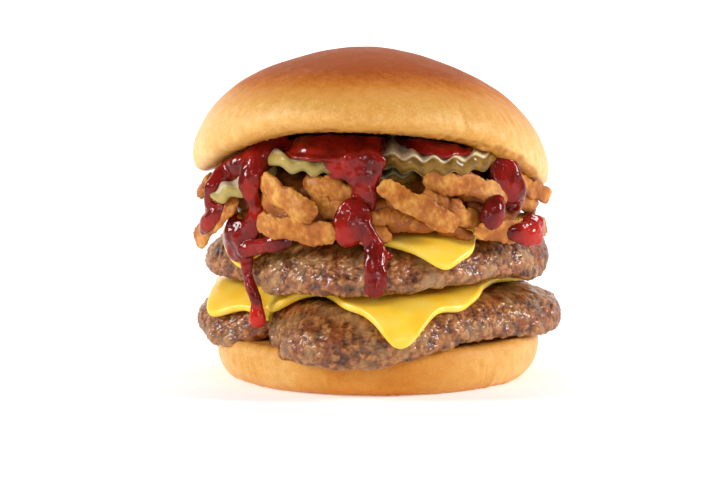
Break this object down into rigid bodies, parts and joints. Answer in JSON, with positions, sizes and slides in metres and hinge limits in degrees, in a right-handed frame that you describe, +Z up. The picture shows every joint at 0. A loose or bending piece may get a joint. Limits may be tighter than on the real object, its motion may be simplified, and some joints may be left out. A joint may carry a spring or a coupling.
{
  "type": "double cheeseburger",
  "caption": "Tall round burger: beef patties with melted cheese, crisp onion strips, crinkle-cut pickles and running barbecue sauce between the halves of a soft bun.",
  "frame": {"origin": "the middle of the flat underside of the bun's heel, on which the burger stands", "axes": "+Z up through the stack, -Y toward the front where the crown is lifted and the fillings show, +X to the right seen from the front"},
  "size_m": [0.1084, 0.1104, 0.0956],
  "materials": {
    "bun_crust": "baked soft crust, golden brown on top and pale at the sides",
    "beef": "griddled minced beef, brown and a little wet with fat",
    "cheese": "melted processed cheese, smooth and satin",
    "onion_batter": "fried batter, rough and crisp, darker at edges",
    "pickle": "wet olive skin round pale cream-green flesh",
    "barbecue_sauce": "thick dark red sauce, glossy, bright red where thin"
  },
  "bodies": {
    "root": {"bun_heel": "bun_crust", "patty_lower": "beef", "cheese_lower": "cheese", "patty_upper": "beef", "cheese_upper": "cheese", "onion_heap": "onion_batter", "pickle_under": "pickle", "pickle_far_left": "pickle", "pickle_left": "pickle", "pickle_right": "pickle", "sauce": "barbecue_sauce", "bun_crown": "bun_crust"}
  },
  "joints": []
}
